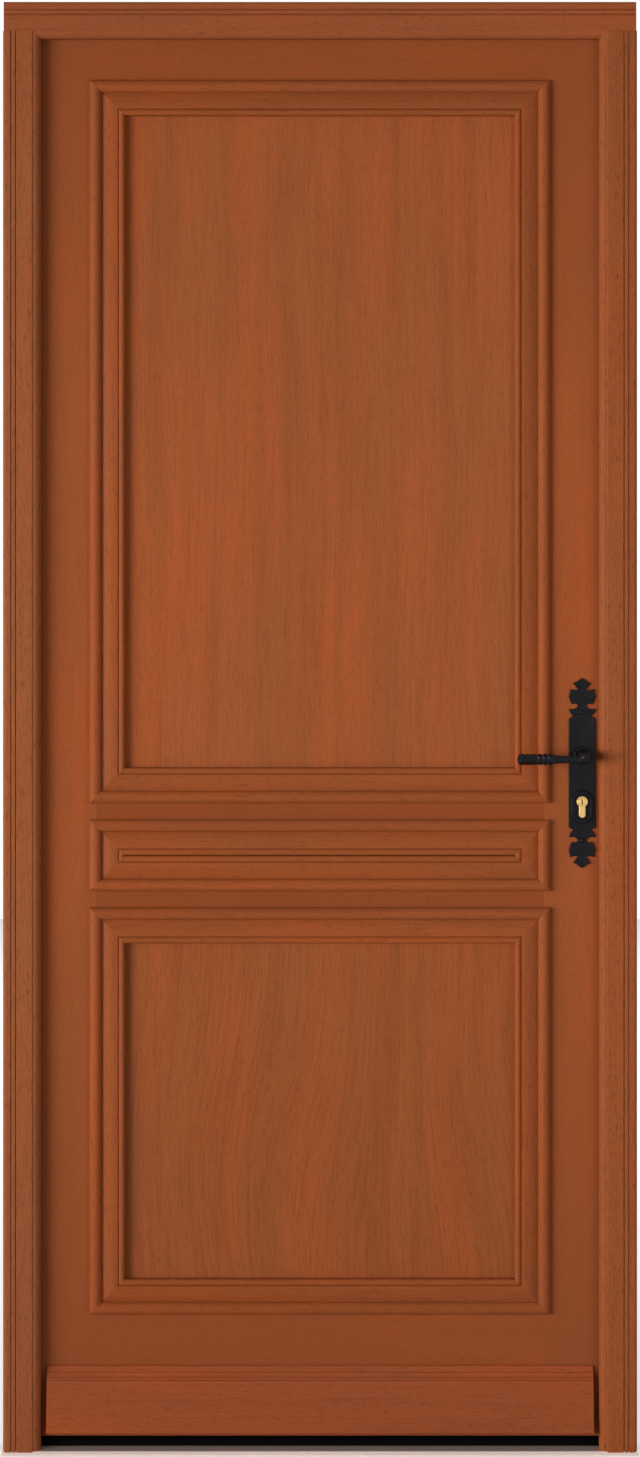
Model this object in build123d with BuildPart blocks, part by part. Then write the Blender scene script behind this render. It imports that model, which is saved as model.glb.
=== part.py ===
from build123d import *
import os
from math import sqrt

# A timber entrance door in its frame, seen from outside with +X to the right.
# The outside face of the frame lies on Y = 0, the house is towards +Y, and the
# underside of the threshold lies on Z = 0. All lengths are in millimetres.

# Clearances and the overrun that every cut shares
overrun = 5.0
fit_clearance = 0.3
running_clearance = 0.05
joinery_clearance = 0.2

# Frame: two jambs under a head, each faced with a moulding that lips over the leaf
frame_width = 960.0
frame_height = 2200.0
jamb_face = 56.5
head_face = 55.0
lip_depth = 18.0
leaf_overlap = 15.0
leaf_gap = 4.0
edge_round = 5.0
groove_width = 2.6
groove_depth = 2.0
first_groove = 12.5
second_groove = 19.6
quirk_width = 1.4
quirk_depth = 1.2
ovolo_width = 11.0
ovolo_depth = 9.0
seal_depth = 3.7
seal_width = 9.0
jamb_fixing_radius = 5.0
jamb_fixing_inset = 200.0
jamb_fixing_count = 4
head_set_in = 1.5

# Threshold: a low aluminium apron in front of a black riser
apron_depth = 25.0
apron_front_height = 6.0
apron_rise = 1.5
apron_nose = 1.5
apron_horn = 2.0
riser_height = 20.0
riser_slope = 4.0
riser_channel_width = 8.0
riser_channel_depth = 3.0

# Leaf: stiles, rails and panels
leaf_thickness = 48.0
leaf_foot = 24.0
stile_width = 98.5
top_rail_width = 86.0
mid_rail_width = 45.0
bottom_rail_width = 195.0
lower_mid_rail_top = 862.0
frieze_line = 0.6
tenon_length = 30.0
tenon_thickness = 16.0
tenon_haunch = 14.0
panel_recess = 4.0
tongue_length = 12.0

# Bolection mouldings, mitred round each panel on both faces
moulding_width = 54.0
moulding_height = 10.0
moulding_lap = 10.0

# Weatherboard across the foot of the leaf
weatherboard_inset = 24.0
weatherboard_bottom = 31.0
weatherboard_height = 100.0
weatherboard_depth = 22.0
weatherboard_head_height = 21.0
weatherboard_face_set_back = 11.0
drip_groove_width = 4.0
drip_groove_depth = 3.0

# Lip seal under the leaf
foot_seal_depth = 12.0
foot_seal_fin = 2.5
foot_seal_inset = 14.0

# Lift-off hinges on the room side of the left jamb
hinge_radius = 7.0
hinge_half_height = 55.0
hinge_pin_radius = 4.0
hinge_pin_rise = 42.0
hinge_cap_height = 4.0
hinge_blade_thickness = 3.0
hinge_blade_depth = 42.0
hinge_stand_off = 0.5
hinge_foot_inset = 236.0
hinge_head_inset = 200.0

# Mortise lock, its faceplate and its keep in the jamb
backset = 40.5
spindle_height = 1058.0
cylinder_drop = 70.0
case_depth = 63.5
case_height = 176.0
case_thickness = 15.0
case_wall = 1.5
case_below_cylinder = 53.0
faceplate_width = 20.0
faceplate_end = 30.0
faceplate_thickness = 3.0
latch_offset = 26.0
latch_height = 18.0
latch_length = 30.0
latch_reach = 3.0
latch_bevel = 8.0
latch_tail_height = 6.0
latch_lug_width = 5.0
latch_lug_gap = 1.5
latch_lug_rise = 2.0
dead_bolt_offset = 35.0
dead_bolt_height = 26.0
dead_bolt_length = 30.0
dead_bolt_throw = 20.0
dead_bolt_tail_length = 22.0
dead_bolt_tail_height = 12.0
follower_radius = 10.0
follower_journal_radius = 7.0
follower_arm_reach = 20.0
follower_arm_width = 6.0
spindle_size = 7.0
strike_height = 210.0
strike_pocket_room = 9.0
lock_screw_head_radius = 4.0
lock_screw_shank_radius = 2.0
lock_screw_length = 22.0
lock_screw_inset = 9.0

# Lock cylinder of round head and narrow lower lobe
cylinder_head_radius = 8.5
cylinder_lobe_width = 10.0
cylinder_height = 33.0
cylinder_stand = 9.0
cylinder_slot_width = 10.4
cylinder_bridge_height = 6.0
plug_radius = 6.5
cam_width = 9.5
cam_ring_radius = 8.2
cam_reach = 13.5
cam_tab_width = 6.0
cylinder_edge = 0.6
keyway_width = 2.2
keyway_height = 8.5
keyway_depth = 14.0

# Wrought-iron handle plates with cross finials, collars, escutcheons and levers
plate_width = 40.0
plate_body_height = 164.6
plate_above_spindle = 55.6
plate_thickness = 3.0
plate_edge = 0.8
finial_length = 62.0
plate_bolt_spacing = 195.0
plate_bolt_above_spindle = 65.7
plate_bolt_radius = 2.5
plate_bolt_head_radius = 3.8
plate_bolt_head_height = 1.0
collar_radius = 13.25
collar_height = 6.0
escutcheon_width = 34.0
escutcheon_height = 50.0
escutcheon_rim = 4.75
escutcheon_depth = 4.0
escutcheon_drop = 8.5
escutcheon_floor_depth = 1.5
lever_neck_radius = 8.0
lever_hub_radius = 9.0
lever_stand_off = 52.0
lever_arm_drop = 3.0
spindle_socket = 22.0
lever_length = 101.5
lever_arm_radius = 5.4
lever_grip_radius = 6.5
lever_head_radius = 7.2
lever_twist_size = 13.4
lever_twist_start = 48.5
lever_twist_length = 26.0
lever_twist_turn = 300.0
lever_twist_steps = 10
lever_head_length = 12.0
lever_ring_width = 2.4
lever_ring_depth = 1.4

# Places worked out from the sizes above
half_width = frame_width / 2
lip_height = frame_height - head_face
rebate_reach = leaf_overlap + leaf_gap
rebate_edge = half_width - jamb_face + rebate_reach
rebate_top = lip_height + rebate_reach
leaf_edge = rebate_edge - leaf_gap
leaf_top = rebate_top - leaf_gap
leaf_face = lip_depth + seal_depth + fit_clearance
leaf_back = leaf_face + leaf_thickness
leaf_middle = leaf_face + leaf_thickness / 2
panel_thickness = leaf_thickness - 2 * panel_recess
frame_depth = leaf_back
stile_edge = leaf_edge - stile_width
top_rail_bottom = leaf_top - top_rail_width
bottom_rail_top = leaf_foot + bottom_rail_width
upper_mid_rail_bottom = lower_mid_rail_top + 2 * (moulding_width - moulding_lap) + frieze_line
upper_mid_rail_top = upper_mid_rail_bottom + mid_rail_width
lower_mid_rail_bottom = lower_mid_rail_top - mid_rail_width
openings = {
    "upper": (upper_mid_rail_top, top_rail_bottom),
    "frieze": (lower_mid_rail_top, upper_mid_rail_bottom),
    "lower": (bottom_rail_top, lower_mid_rail_bottom),
}
rails = {
    "top_rail": (top_rail_bottom, leaf_top),
    "upper_mid_rail": (upper_mid_rail_bottom, upper_mid_rail_top),
    "lower_mid_rail": (lower_mid_rail_bottom, lower_mid_rail_top),
    "bottom_rail": (leaf_foot, bottom_rail_top),
}
spindle_x = leaf_edge - backset
faceplate_height = case_height + 2 * faceplate_end
jamb_fixing_step = (frame_height - 2 * jamb_fixing_inset) / (jamb_fixing_count - 1)
jamb_fixing_heights = [jamb_fixing_inset + index * jamb_fixing_step for index in range(jamb_fixing_count)]
hinge_bottom = leaf_foot + hinge_foot_inset
hinge_top = leaf_top - hinge_head_inset - 2 * hinge_half_height
hinge_heights = [hinge_bottom, (hinge_bottom + hinge_top) / 2, hinge_top]
cylinder_z = spindle_height - cylinder_drop
arc_share = sqrt(0.5)
round_share = 1 - arc_share

os.makedirs("parts", exist_ok=True)


def keep(piece, name):
    """Label a finished piece and write its file."""
    piece.label = name
    export_step(piece, f"parts/{name}.step")


def keep_group(pieces, name):
    """Write like pieces, each a solid of its own, as one node."""
    with BuildPart() as group:
        add(pieces)
    keep(group.part, name)


def wall_plane(y):
    """The upright plane at depth y, whose normal points out of the house."""
    return Plane.XZ.offset(-y)


def draw_outline(points):
    """Close a run of points into a face."""
    with BuildLine() as outline:
        Polyline(*points, close=True)
    make_face(outline.edges())


def upright_block(x_range, y_range, z_range, mode=Mode.ADD):
    """A rectangular block between three pairs of limits."""
    centre = [sum(limits) / 2 for limits in (x_range, y_range, z_range)]
    size = [max(limits) - min(limits) for limits in (x_range, y_range, z_range)]
    with Locations(tuple(centre)):
        Box(*size, mode=mode)


def draw_facing(at, face):
    """The moulded section of a facing: u runs in from the outer edge, y into the house."""
    ovolo_start = face - ovolo_width
    ovolo_share = (0.66, 0.30)
    corner = round_share * edge_round
    with BuildLine() as section:
        ThreePointArc(at(0, edge_round), at(corner, corner), at(edge_round, 0))
        flat = [at(edge_round, 0)]
        for groove in (first_groove, second_groove):
            flat.append(at(groove - groove_width / 2, 0))
            flat.append(at(groove, groove_depth))
            flat.append(at(groove + groove_width / 2, 0))
        flat.append(at(ovolo_start - quirk_width, 0))
        flat.append(at(ovolo_start, quirk_depth))
        Polyline(*flat)
        bulge = at(ovolo_start + ovolo_share[0] * ovolo_width,
                   quirk_depth + ovolo_share[1] * (ovolo_depth - quirk_depth))
        ThreePointArc(at(ovolo_start, quirk_depth), bulge, at(face, ovolo_depth))
        Polyline(at(face, ovolo_depth), at(face, lip_depth), at(0, lip_depth), at(0, edge_round))
    make_face(section.edges())


def draw_apron():
    """Section of the threshold's aluminium apron, with a rounded nose."""
    draw_outline([(0, 0), (0, apron_front_height - apron_nose), (apron_nose, apron_front_height),
                  (apron_depth, apron_front_height + apron_rise), (apron_depth, 0)])


def draw_riser():
    """Section of the black riser behind the apron, with a drainage channel in its top."""
    channel = (apron_depth + frame_depth) / 2
    draw_outline([(apron_depth, 0), (apron_depth, riser_height - riser_slope),
                  (apron_depth + riser_slope, riser_height),
                  (channel - riser_channel_width / 2, riser_height),
                  (channel - riser_channel_width / 2, riser_height - riser_channel_depth),
                  (channel + riser_channel_width / 2, riser_height - riser_channel_depth),
                  (channel + riser_channel_width / 2, riser_height), (frame_depth, riser_height),
                  (frame_depth, 0)])


# Jambs, scribed over the threshold, the lock jamb with the keep of the lock
strike_mid = spindle_height - (cylinder_drop - dead_bolt_offset - latch_offset) / 2
strike_x_range = (rebate_edge, rebate_edge + faceplate_thickness)
pocket_floor = leaf_edge + dead_bolt_throw + strike_pocket_room
latch_z = spindle_height + latch_offset
dead_bolt_z = spindle_height - dead_bolt_offset
bolt_width = case_thickness - 2 * (case_wall + fit_clearance)
pocket_y_range = (leaf_middle - bolt_width / 2 - fit_clearance, leaf_middle + bolt_width / 2 + fit_clearance)
bolt_pockets = {"latch": (latch_z, latch_height), "dead_bolt": (dead_bolt_z, dead_bolt_height)}


def pocket_z_range(name):
    """Height range of a bolt's pocket in the keep, with room round the bolt."""
    middle, height = bolt_pockets[name]
    return (middle - height / 2 - 2 * fit_clearance, middle + height / 2 + 2 * fit_clearance)


def lock_screw_places(height, middle):
    """Heights of the two screws of a lock plate."""
    return [middle - height / 2 + lock_screw_inset, middle + height / 2 - lock_screw_inset]


def cut_threshold():
    """Take the threshold's section off the foot of a jamb or facing."""
    with BuildSketch(Plane.YZ) as threshold_section:
        draw_apron()
        draw_riser()
    extrude(threshold_section.sketch, amount=half_width + overrun, both=True, mode=Mode.SUBTRACT)


for side, name in ((-1, "hinge_jamb"), (1, "lock_jamb")):
    with BuildPart() as jamb:
        upright_block((side * rebate_edge, side * half_width), (lip_depth, frame_depth), (0, rebate_top))
        cut_threshold()
        with BuildSketch(Plane.YZ):
            for height in jamb_fixing_heights:
                with Locations((leaf_middle, height)):
                    Circle(jamb_fixing_radius)
        extrude(amount=half_width + overrun, both=True, mode=Mode.SUBTRACT)
        if side > 0:
            strike_z = (strike_mid - strike_height / 2, strike_mid + strike_height / 2)
            strike_y = (leaf_middle - faceplate_width / 2, leaf_middle + faceplate_width / 2)
            upright_block((rebate_edge - overrun, strike_x_range[1]), strike_y, strike_z, Mode.SUBTRACT)
            for bolt in bolt_pockets:
                upright_block((rebate_edge, pocket_floor), pocket_y_range, pocket_z_range(bolt),
                              Mode.SUBTRACT)
            for height in lock_screw_places(strike_height, strike_mid):
                with Locations(Plane.YZ.offset(rebate_edge) * Location((leaf_middle, height))):
                    Cylinder(lock_screw_shank_radius, lock_screw_length + lock_screw_shank_radius,
                             align=(Align.CENTER, Align.CENTER, Align.MIN), mode=Mode.SUBTRACT)
    keep(jamb.part, name)

# Head across the tops of the jambs
head_edge = half_width - head_set_in
with BuildPart() as head:
    upright_block((-head_edge, head_edge), (lip_depth, frame_depth), (rebate_top, frame_height))
keep(head.part, "head")

# Moulded facings in front of the jambs and head, which lip over the leaf and meet in a mitred ovolo
for side, name in ((-1, "hinge_jamb_facing"), (1, "lock_jamb_facing")):
    with BuildPart() as facing:
        with BuildSketch(Plane.XY):
            draw_facing(lambda u, y: (side * (half_width - u), y), jamb_face)
        extrude(amount=lip_height + ovolo_width)
        with BuildSketch(wall_plane(lip_depth)):
            draw_outline([(side * (half_width - jamb_face), lip_height),
                          (side * (half_width - jamb_face + ovolo_width), lip_height + ovolo_width),
                          (side * (half_width - jamb_face), lip_height + ovolo_width)])
        extrude(amount=lip_depth + overrun, mode=Mode.SUBTRACT)
        cut_threshold()
    keep(facing.part, name)

with BuildPart() as head_facing:
    with BuildSketch(Plane.YZ):
        draw_facing(lambda u, y: (y, frame_height - u), head_face)
    extrude(amount=head_edge, both=True)
    with BuildSketch(wall_plane(lip_depth)):
        for side in (-1, 1):
            outer = side * (half_width + overrun)
            draw_outline([(side * (half_width - jamb_face), lip_height),
                          (side * (half_width - jamb_face + ovolo_width), lip_height + ovolo_width),
                          (outer, lip_height + ovolo_width), (outer, lip_height - overrun),
                          (side * (half_width - jamb_face), lip_height - overrun)])
    extrude(amount=lip_depth + overrun, mode=Mode.SUBTRACT)
keep(head_facing.part, "head_facing")

# Threshold apron, a little wider than the frame, and the riser behind it
threshold_pieces = {"threshold_apron": (draw_apron, apron_horn), "threshold_riser": (draw_riser, 0)}
for name, (draw_section, horn) in threshold_pieces.items():
    with BuildPart() as threshold:
        with BuildSketch(Plane.YZ):
            draw_section()
        extrude(amount=half_width + horn, both=True)
    keep(threshold.part, name)

# Frame seal: a rounded rubber strip behind the lip, up both jambs and along the head
seal_outer = rebate_edge - leaf_gap / 2
seal_inner = seal_outer - seal_width
seal_top = rebate_top - leaf_gap / 2
with BuildPart() as frame_seal:
    with BuildSketch(wall_plane(lip_depth)):
        draw_outline([(-seal_outer, riser_height), (-seal_outer, seal_top), (seal_outer, seal_top),
                      (seal_outer, riser_height), (seal_inner, riser_height),
                      (seal_inner, seal_top - seal_width), (-seal_inner, seal_top - seal_width),
                      (-seal_inner, riser_height)])
    extrude(amount=-seal_depth)
    back_edges = frame_seal.faces().sort_by(Axis.Y)[-1].edges()
    chamfer(back_edges.filter_by(Axis.Z), length=seal_depth / 3, length2=seal_width / 3)
keep(frame_seal.part, "frame_seal")

# Leaf joinery: tenons of the rails stand in mortises of the stiles, panels sit in grooves of both
tenon_y_range = (leaf_middle - tenon_thickness / 2, leaf_middle + tenon_thickness / 2)
mortise_y_range = (tenon_y_range[0] - joinery_clearance, tenon_y_range[1] + joinery_clearance)
mortise_end = stile_edge + tenon_length + joinery_clearance
groove_reach = tongue_length + 2 * fit_clearance


def widened(limits, room):
    """A pair of limits moved apart by the same room at both ends."""
    return (min(limits) - room, max(limits) + room)


def tenon_z_range(name):
    """Height of a rail's tenon, held back by a haunch at the leaf's ends or by a panel groove."""
    bottom, top = rails[name]
    below = tenon_haunch if bottom == leaf_foot else groove_reach
    above = tenon_haunch if top == leaf_top else groove_reach
    return (bottom + below, top - above)


def euro_profile(room):
    """The keyhole-shaped section of the lock cylinder, centred on its head, grown by some room."""
    lobe = cylinder_lobe_width / 2
    with BuildSketch(mode=Mode.PRIVATE) as profile:
        with Locations((spindle_x, cylinder_z)):
            Circle(cylinder_head_radius + room)
        lobe_end = cylinder_z - cylinder_height + cylinder_head_radius + lobe
        with Locations((spindle_x, (cylinder_z + lobe_end) / 2)):
            Rectangle(2 * (lobe + room), cylinder_z - lobe_end)
        with Locations((spindle_x, lobe_end)):
            Circle(lobe + room)
    return profile.sketch


case_front = leaf_edge - faceplate_thickness
case_back = case_front - case_depth
case_bottom = cylinder_z - case_below_cylinder
case_top = case_bottom + case_height
case_y_range = (leaf_middle - case_thickness / 2, leaf_middle + case_thickness / 2)
faceplate_mid = (case_bottom + case_top) / 2
faceplate_z_range = (faceplate_mid - faceplate_height / 2, faceplate_mid + faceplate_height / 2)
faceplate_y_range = (leaf_middle - faceplate_width / 2, leaf_middle + faceplate_width / 2)
plate_bolt_heights = [spindle_height + plate_bolt_above_spindle,
                      spindle_height + plate_bolt_above_spindle - plate_bolt_spacing]
through_range = (leaf_face - overrun, leaf_back + overrun)

for side, name in ((-1, "hinge_stile"), (1, "lock_stile")):
    with BuildPart() as stile:
        upright_block((side * stile_edge, side * leaf_edge), (leaf_face, leaf_back), (leaf_foot, leaf_top))
        for opening in openings.values():
            upright_block((side * (stile_edge - overrun), side * (stile_edge + groove_reach)),
                          mortise_y_range, widened(opening, groove_reach), Mode.SUBTRACT)
        for rail in rails:
            upright_block((side * (stile_edge - overrun), side * mortise_end), mortise_y_range,
                          widened(tenon_z_range(rail), joinery_clearance), Mode.SUBTRACT)
        if side > 0:
            upright_block((case_back - joinery_clearance, leaf_edge + overrun),
                          widened(case_y_range, joinery_clearance),
                          widened((case_bottom, case_top), joinery_clearance), Mode.SUBTRACT)
            upright_block((case_front, leaf_edge + overrun), faceplate_y_range, faceplate_z_range,
                          Mode.SUBTRACT)
            with BuildSketch(wall_plane(through_range[1])):
                add(euro_profile(2 * fit_clearance))
                with Locations((spindle_x, spindle_height)):
                    Circle(follower_radius)
                for height in plate_bolt_heights:
                    with Locations((spindle_x, height)):
                        Circle(plate_bolt_radius + fit_clearance)
            extrude(amount=through_range[1] - through_range[0], mode=Mode.SUBTRACT)
            for height in lock_screw_places(faceplate_height, faceplate_mid):
                with Locations(Plane.YZ.offset(leaf_edge - lock_screw_length - lock_screw_shank_radius)
                               * Location((leaf_middle, height))):
                    Cylinder(lock_screw_shank_radius, lock_screw_length + overrun,
                             align=(Align.CENTER, Align.CENTER, Align.MIN), mode=Mode.SUBTRACT)
    keep(stile.part, name)

# Rails between the stiles, grooved where a panel stands above or below them
for name, (bottom, top) in rails.items():
    with BuildPart() as rail:
        upright_block((-stile_edge, stile_edge), (leaf_face, leaf_back), (bottom, top))
        upright_block((-stile_edge - tenon_length, stile_edge + tenon_length), tenon_y_range,
                      tenon_z_range(name))
        for opening in openings.values():
            for edge, inward in ((opening[0], -1), (opening[1], 1)):
                if edge in (bottom, top):
                    upright_block((-stile_edge, stile_edge), mortise_y_range,
                                  (edge - inward * overrun, edge + inward * groove_reach), Mode.SUBTRACT)
    keep(rail.part, name)

# Panels with a tongue all round
for name, (bottom, top) in openings.items():
    with BuildPart() as panel:
        upright_block((-stile_edge + fit_clearance, stile_edge - fit_clearance),
                      (leaf_face + panel_recess, leaf_face + panel_recess + panel_thickness),
                      widened((bottom, top), -fit_clearance))
        upright_block((-stile_edge - tongue_length, stile_edge + tongue_length), tenon_y_range,
                      widened((bottom, top), tongue_length))
    keep(panel.part, f"{name}_panel")

# Bolection moulding: step, torus, hollow, broad swell, quirk and bead, lapped over the joinery
torus_start_share = (0.0, 0.40)
torus_peak_share = (0.14, 1.0)
torus_end_share = (0.35, 0.24)
swell_middle_share = (0.52, 0.60)
swell_end_share = (0.76, 0.74)
quirk_share = (0.80, 0.72)
quirk_foot_share = (0.82, 0.56)
bead_peak_share = (0.90, 0.86)
bead_end_share = (1.0, 0.46)


def draw_moulding(at):
    """Moulding section: u runs from the outer edge towards the panel, h stands out of the leaf."""
    def point(share):
        return at(share[0] * moulding_width, share[1] * moulding_height)

    with BuildLine() as section:
        Line(at(0, 0), point(torus_start_share))
        ThreePointArc(point(torus_start_share), point(torus_peak_share), point(torus_end_share))
        ThreePointArc(point(torus_end_share), point(swell_middle_share), point(swell_end_share))
        Polyline(point(swell_end_share), point(quirk_share), point(quirk_foot_share))
        ThreePointArc(point(quirk_foot_share), point(bead_peak_share), point(bead_end_share))
        Polyline(point(bead_end_share), at(moulding_width, -panel_recess),
                 at(moulding_lap, -panel_recess), at(moulding_lap, 0), at(0, 0))
    make_face(section.edges())


ring_half = stile_edge + moulding_lap


def moulding_side(ring, side, face, out):
    """One mitred length of moulding on a ring, standing off a face in the direction out."""
    bottom, top = ring
    upright = side in ("left", "right")
    facing = {"left": -1, "right": 1, "bottom": -1, "top": 1}[side]
    edge = facing * ring_half if upright else (top if facing > 0 else bottom)
    inner = edge - facing * moulding_width
    with BuildPart() as moulding:
        if upright:
            with BuildSketch(Plane.XY.offset(bottom)):
                draw_moulding(lambda u, h: (edge - facing * u, face + out * h))
            extrude(amount=top - bottom)
            mitred = [(edge, bottom), (edge, top),
                      (inner, top - moulding_width), (inner, bottom + moulding_width)]
        else:
            with BuildSketch(Plane.YZ):
                draw_moulding(lambda u, h: (face + out * h, edge - facing * u))
            extrude(amount=ring_half, both=True)
            mitred = [(-ring_half, edge), (ring_half, edge),
                      (ring_half - moulding_width, inner), (-ring_half + moulding_width, inner)]
        with BuildSketch(wall_plane(leaf_middle)):
            draw_outline(mitred)
        extrude(amount=leaf_thickness, both=True, mode=Mode.INTERSECT)
    return moulding.part


for name, opening in openings.items():
    ring = widened(opening, moulding_lap)
    for side in ("left", "right", "bottom", "top"):
        keep(moulding_side(ring, side, leaf_face, -1), f"{name}_moulding_{side}")
for run, sides in (("upright", ("left", "right")), ("level", ("bottom", "top"))):
    rings = [widened(opening, moulding_lap) for opening in openings.values()]
    lengths = [moulding_side(ring, side, leaf_back, 1) for ring in rings for side in sides]
    keep_group(lengths, f"{run}_room_mouldings")

# Weatherboard: a head of two hollows and a bead, over a face that leans out to a drip edge
board_ledge_share = 0.30
board_fillet_shares = [(0.46, 0.42), (0.62, 0.45)]
board_hollow_share = (0.68, 0.66)
board_bead_shares = [(0.80, 0.76), (1.06, 0.87), (0.90, 0.98)]
board_top = weatherboard_bottom + weatherboard_height
board_front = leaf_face - weatherboard_depth
board_lean = board_front + weatherboard_face_set_back
board_nose = board_front + weatherboard_depth / 2


def on_board_head(share):
    """A point on the weatherboard's head: out from the leaf and down from the top."""
    out, down = share
    return (leaf_face - out * (leaf_face - board_lean), board_top - down * weatherboard_head_height)


with BuildPart() as weatherboard:
    with BuildSketch(Plane.YZ):
        with BuildLine():
            ledge = on_board_head((board_ledge_share, 0))
            fillet_top, fillet_foot = [on_board_head(share) for share in board_fillet_shares]
            bead_top, bead_front, bead_foot = [on_board_head(share) for share in board_bead_shares]
            Polyline((leaf_face, weatherboard_bottom), (leaf_face, board_top), ledge, fillet_top,
                     fillet_foot)
            ThreePointArc(fillet_foot, on_board_head(board_hollow_share), bead_top)
            ThreePointArc(bead_top, bead_front, bead_foot)
            Polyline(bead_foot, (board_lean, board_top - weatherboard_head_height),
                     (board_front, weatherboard_bottom + drip_groove_depth),
                     (board_front + drip_groove_depth, weatherboard_bottom),
                     (board_nose - drip_groove_width / 2, weatherboard_bottom),
                     (board_nose - drip_groove_width / 2, weatherboard_bottom + drip_groove_depth),
                     (board_nose + drip_groove_width / 2, weatherboard_bottom + drip_groove_depth),
                     (board_nose + drip_groove_width / 2, weatherboard_bottom),
                     (leaf_face, weatherboard_bottom))
        make_face()
    extrude(amount=leaf_edge - weatherboard_inset, both=True)
keep(weatherboard.part, "weatherboard")

# Rubber lip seal under the leaf, just clear of the riser's top
seal_front = leaf_face + foot_seal_inset
seal_foot = riser_height + fit_clearance
with BuildPart() as bottom_seal:
    upright_block((-leaf_edge, leaf_edge), (seal_front, seal_front + foot_seal_depth),
                  (leaf_foot - foot_seal_fin / 2, leaf_foot))
    for start in (seal_front, seal_front + foot_seal_depth - foot_seal_fin):
        upright_block((-leaf_edge, leaf_edge), (start, start + foot_seal_fin), (seal_foot, leaf_foot))
keep(bottom_seal.part, "bottom_seal")

# Hinges: the frame half carries the pin, the leaf half drops over it
hinge_x = (-rebate_edge - leaf_edge) / 2
hinge_y = leaf_back + hinge_radius + hinge_stand_off
blade_y_range = (leaf_back - hinge_blade_depth, hinge_y)
upright = (Align.CENTER, Align.CENTER, Align.MIN)
frame_halves = []
leaf_halves = []
for height in hinge_heights:
    joint_height = height + hinge_half_height
    with BuildPart() as frame_half:
        with Locations((hinge_x, hinge_y, height)):
            Cylinder(hinge_radius, hinge_half_height, align=upright)
        with Locations((hinge_x, hinge_y, joint_height)):
            Cylinder(hinge_pin_radius, hinge_pin_rise, align=upright)
        upright_block((-rebate_edge, -rebate_edge + hinge_blade_thickness), blade_y_range,
                      (height, joint_height))
        chamfer(frame_half.edges().filter_by(GeomType.CIRCLE).sort_by(Axis.Z)[0], length=hinge_stand_off)
    frame_halves.append(frame_half.part)
    with BuildPart() as leaf_half:
        with Locations((hinge_x, hinge_y, joint_height)):
            Cylinder(hinge_radius, hinge_half_height, align=upright)
        upright_block((-leaf_edge - hinge_blade_thickness, -leaf_edge), blade_y_range,
                      (joint_height, joint_height + hinge_half_height))
        with Locations((hinge_x, hinge_y, joint_height)):
            Cylinder(hinge_pin_radius + running_clearance, hinge_half_height - hinge_cap_height,
                     align=upright, mode=Mode.SUBTRACT)
        chamfer(leaf_half.edges().filter_by(GeomType.CIRCLE).sort_by(Axis.Z)[-1], length=hinge_stand_off)
    leaf_halves.append(leaf_half.part)
keep_group(frame_halves, "hinge_frame_halves")
keep_group(leaf_halves, "hinge_leaf_halves")

# Lock case: a tray closed by a cover plate, with its bolts, follower and faceplate
cavity_y_range = widened(case_y_range, -case_wall)
journal_bore = follower_journal_radius + running_clearance
latch_head_back = leaf_edge + latch_reach - latch_length
dead_bolt_back = leaf_edge - dead_bolt_length


def cut_case_wall():
    """Journal bore and cylinder hole through the walls of the lock."""
    with BuildSketch(wall_plane(through_range[1])) as holes:
        add(euro_profile(fit_clearance))
        with Locations((spindle_x, spindle_height)):
            Circle(journal_bore)
    extrude(holes.sketch, amount=through_range[1] - through_range[0], mode=Mode.SUBTRACT)


with BuildPart() as lock_case:
    upright_block((case_back, case_front), (case_y_range[0], cavity_y_range[1]), (case_bottom, case_top))
    upright_block((case_back + case_wall, case_front - case_wall),
                  (cavity_y_range[0], cavity_y_range[1] + overrun),
                  (case_bottom + case_wall, case_top - case_wall), Mode.SUBTRACT)
    for bolt in bolt_pockets:
        upright_block((case_front - 2 * case_wall, case_front + overrun), cavity_y_range,
                      pocket_z_range(bolt), Mode.SUBTRACT)
    cut_case_wall()
keep(lock_case.part, "lock_case")

with BuildPart() as lock_cover:
    upright_block((case_back, case_front), (cavity_y_range[1], case_y_range[1]), (case_bottom, case_top))
    cut_case_wall()
keep(lock_cover.part, "lock_cover")

# Faceplate on the leaf's edge and strike plate in the jamb, each with two countersunk screws
lock_plates = {
    "lock_faceplate": (case_front, 1, faceplate_mid, faceplate_height, "faceplate_screws"),
    "strike_plate": (strike_x_range[1], -1, strike_mid, strike_height, "strike_screws"),
}
for name, (seat, out, middle, height, screws_name) in lock_plates.items():
    face = seat + out * faceplate_thickness
    screw_heights = lock_screw_places(height, middle)
    with BuildPart() as plate:
        upright_block((seat, face), faceplate_y_range, (middle - height / 2, middle + height / 2))
        for bolt in bolt_pockets:
            upright_block((seat - out * overrun, face + out * overrun), pocket_y_range, pocket_z_range(bolt),
                          Mode.SUBTRACT)
        for screw_height in screw_heights:
            with BuildSketch(Plane.YZ.offset(face)):
                with Locations((leaf_middle, screw_height)):
                    Circle(lock_screw_head_radius)
            with BuildSketch(Plane.YZ.offset(seat)):
                with Locations((leaf_middle, screw_height)):
                    Circle(lock_screw_shank_radius)
            loft(mode=Mode.SUBTRACT)
    keep(plate.part, name)
    with BuildPart() as screws:
        for screw_height in screw_heights:
            with BuildSketch(Plane.XZ.offset(-leaf_middle)):
                draw_outline([(face, screw_height), (face, screw_height + lock_screw_head_radius),
                              (seat, screw_height + lock_screw_shank_radius),
                              (face - out * lock_screw_length, screw_height + lock_screw_shank_radius),
                              (face - out * (lock_screw_length + lock_screw_shank_radius), screw_height)])
            revolve(axis=Axis((face, leaf_middle, screw_height), (1, 0, 0)))
    keep(screws.part, screws_name)

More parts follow.
